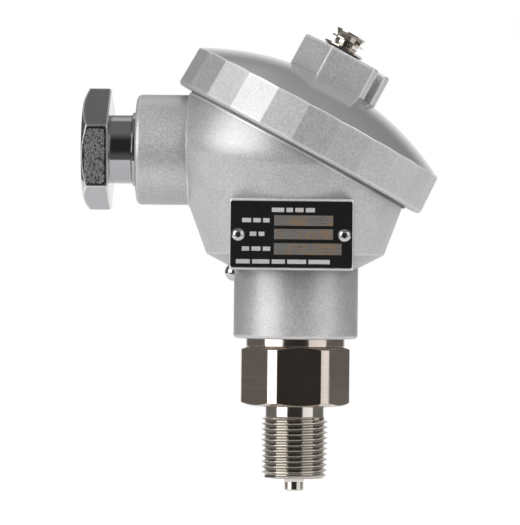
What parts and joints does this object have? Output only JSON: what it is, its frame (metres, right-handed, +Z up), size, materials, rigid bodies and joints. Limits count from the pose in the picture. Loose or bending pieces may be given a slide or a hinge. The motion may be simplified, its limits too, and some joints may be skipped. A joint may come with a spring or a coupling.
{
  "type": "pressure transmitter",
  "caption": "Industrial pressure transmitter: cast connection head with slanted screw cover, side cable gland, hexagon and threaded process connection.",
  "frame": {"origin": "centre of the sealing shoulder under the hexagon, on the process axis", "axes": "+Z up along the process axis, -Y out of the plate's face, -X out of the cable gland"},
  "size_m": [0.0883, 0.0686, 0.1159],
  "materials": {
    "cast_paint": "silver-grey paint over a die casting, fine grain",
    "chrome": "bright plated brass",
    "nickel": "nickel plated steel",
    "stainless": "fine turned stainless steel",
    "brass": "plain turned brass",
    "rubber": "black seal rubber",
    "plate_black": "black printed metal plate",
    "board": "green lacquered circuit board",
    "chip": "black moulded packages",
    "terminal_plastic": "dark moulded plastic",
    "lead_film": "amber flexible lead"
  },
  "bodies": {
    "housing": {"housing": "cast_paint", "grommet": "rubber", "thrust_ring": "nickel", "process_connection": "stainless", "neck_seal": "rubber", "sensor_capsule": "stainless", "sensor_diaphragm": "stainless", "sensor_seal": "rubber", "sensor_retainer": "brass", "sensor_lead": "lead_film", "board_standoffs": "brass", "circuit_board": "board", "board_screws": "nickel", "board_components": "chip", "terminal_block": "terminal_plastic", "terminal_screws": "nickel", "inner_earth_screw": "nickel", "inner_earth_washer": "nickel", "name_plate": "plate_black", "plate_stud_left": "nickel", "plate_stud_right": "nickel", "lock_screw": "nickel"},
    "cover_seal": {"cover_seal": "rubber"},
    "cover": {"cover": "cast_paint"},
    "earth_washers": {"cup_washer": "nickel", "spring_washer": "nickel", "plain_washer": "nickel"},
    "earth_screw": {"earth_screw": "nickel"},
    "gland_ring": {"gland_ring": "chrome"},
    "gland_screw": {"gland_screw": "chrome"}
  },
  "joints": [
    {"name": "cover_lift", "type": "slide", "parent": "housing", "child": "cover_seal", "axis": [0.4695, 0, 0.8829], "range_m": [0, 0.008]},
    {"name": "cover_turn", "type": "hinge", "parent": "cover_seal", "child": "cover", "pos_m": [0, 0, 0.0636], "axis": [0.4695, 0, 0.8829], "range_deg": [0, 1440]},
    {"name": "earth_screw_lift", "type": "slide", "parent": "cover", "child": "earth_washers", "axis": [0.4695, 0, 0.8829], "range_m": [0, 0.0028]},
    {"name": "earth_screw_turn", "type": "hinge", "parent": "earth_washers", "child": "earth_screw", "pos_m": [-0.00177, 0, 0.06454], "axis": [0.4695, 0, 0.8829], "range_deg": [0, 1440]},
    {"name": "gland_travel", "type": "slide", "parent": "housing", "child": "gland_ring", "axis": [-1, 0, 0], "range_m": [0, 0.006]},
    {"name": "gland_turn", "type": "hinge", "parent": "gland_ring", "child": "gland_screw", "pos_m": [0, 0, 0.0636], "axis": [-1, 0, 0], "range_deg": [0, 1440]}
  ],
  "couplings": [
    {"joint": "cover_turn", "follows": "cover_lift", "rad_per_m": 3141.6},
    {"joint": "earth_screw_turn", "follows": "earth_screw_lift", "rad_per_m": 8976},
    {"joint": "gland_turn", "follows": "gland_travel", "rad_per_m": 4188.8}
  ]
}
